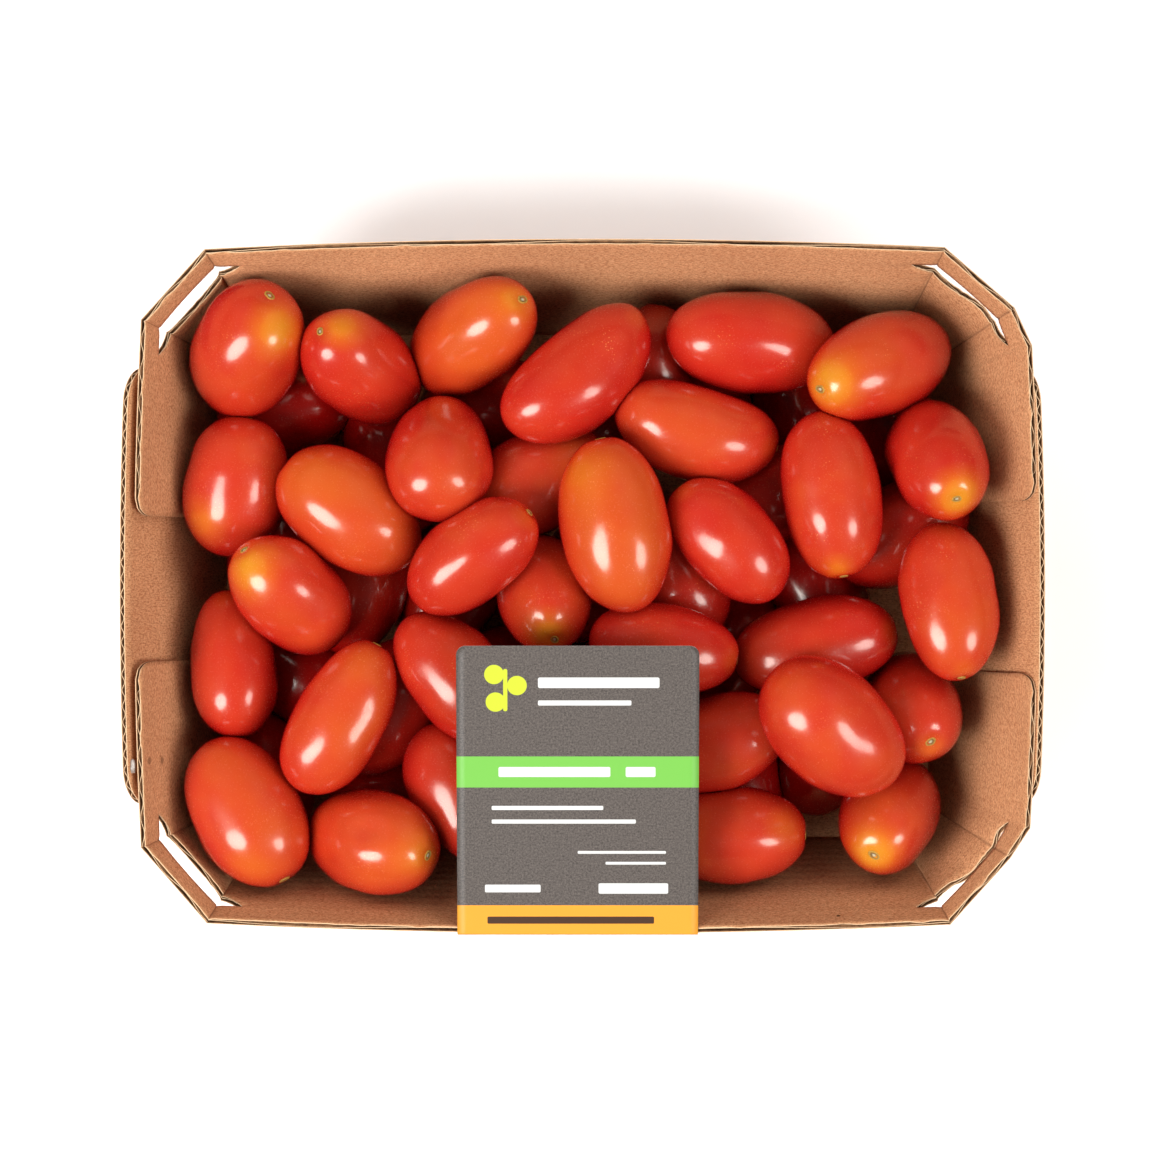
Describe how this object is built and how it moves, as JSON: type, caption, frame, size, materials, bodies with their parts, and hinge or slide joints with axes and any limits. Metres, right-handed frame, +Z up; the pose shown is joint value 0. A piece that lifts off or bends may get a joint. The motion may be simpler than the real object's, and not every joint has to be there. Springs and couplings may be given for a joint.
{
  "type": "punnet of cherry tomatoes",
  "caption": "Open folded board tray heaped with plum-shaped cherry tomatoes, with a printed card folded over its front rim.",
  "frame": {"origin": "middle of the tray's underside, where it rests", "axes": "+X along the tray's length, +Y towards its back, away from the card, +Z up"},
  "size_m": [0.2002, 0.151, 0.0593],
  "materials": {
    "board": "matte",
    "tomato_skin": "gloss",
    "printed_card": "satin"
  },
  "bodies": {
    "root": {"tray": "board", "tomatoes": "tomato_skin", "card": "printed_card"}
  },
  "joints": []
}
